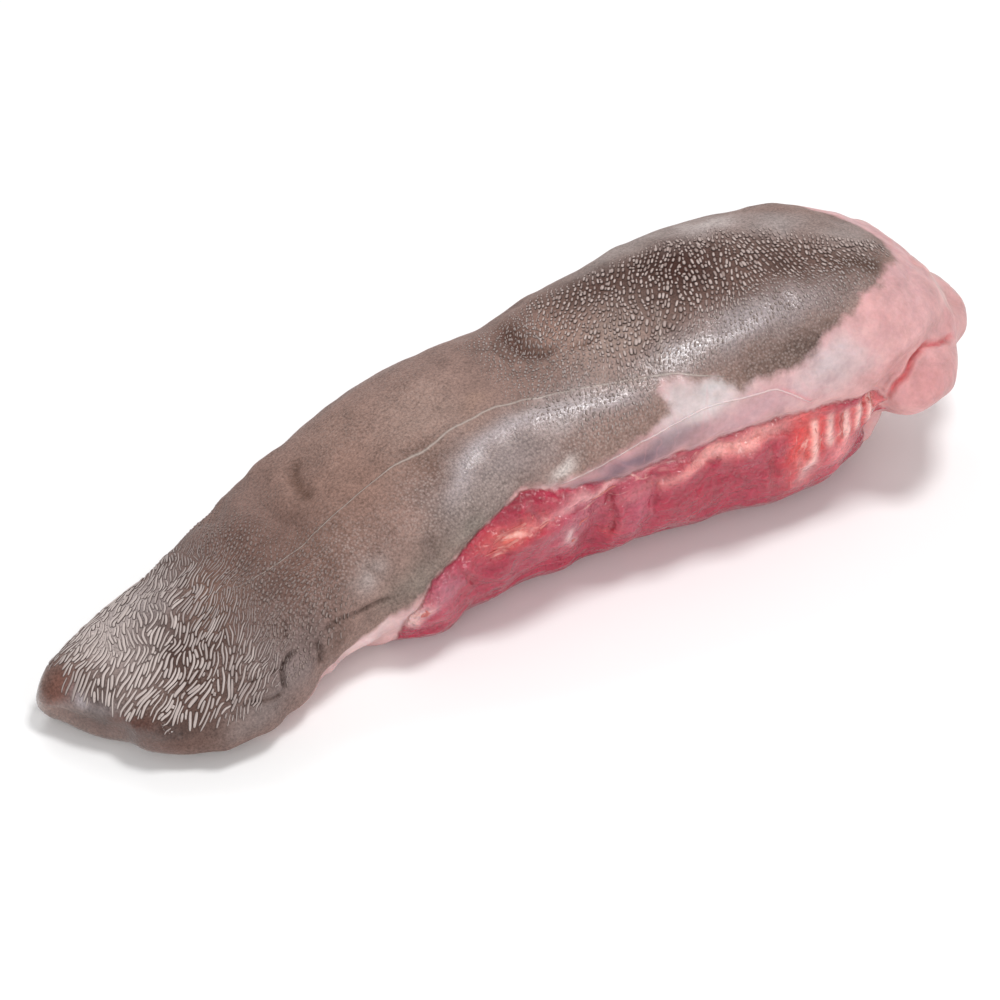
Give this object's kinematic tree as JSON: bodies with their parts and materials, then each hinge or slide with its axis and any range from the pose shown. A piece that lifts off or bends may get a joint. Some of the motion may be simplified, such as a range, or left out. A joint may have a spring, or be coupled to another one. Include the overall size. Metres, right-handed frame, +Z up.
{
  "type": "beef tongue",
  "caption": "Whole raw beef tongue lying on its underside: flat blade, humped back, rounded root and a strap of muscle below.",
  "frame": {"origin": "middle of the bounding box, on the ground that the tongue lies on", "axes": "+X from the tip to the root, +Z up from the ground to the back, the animal's left side towards -Y"},
  "size_m": [0.3402, 0.0968, 0.0827],
  "materials": {
    "tongue_skin": "moist grey-brown skin with fine papillae",
    "tongue_muscle": "wet raw muscle with fat"
  },
  "bodies": {
    "root": {"tongue": "tongue_skin"}
  },
  "joints": []
}
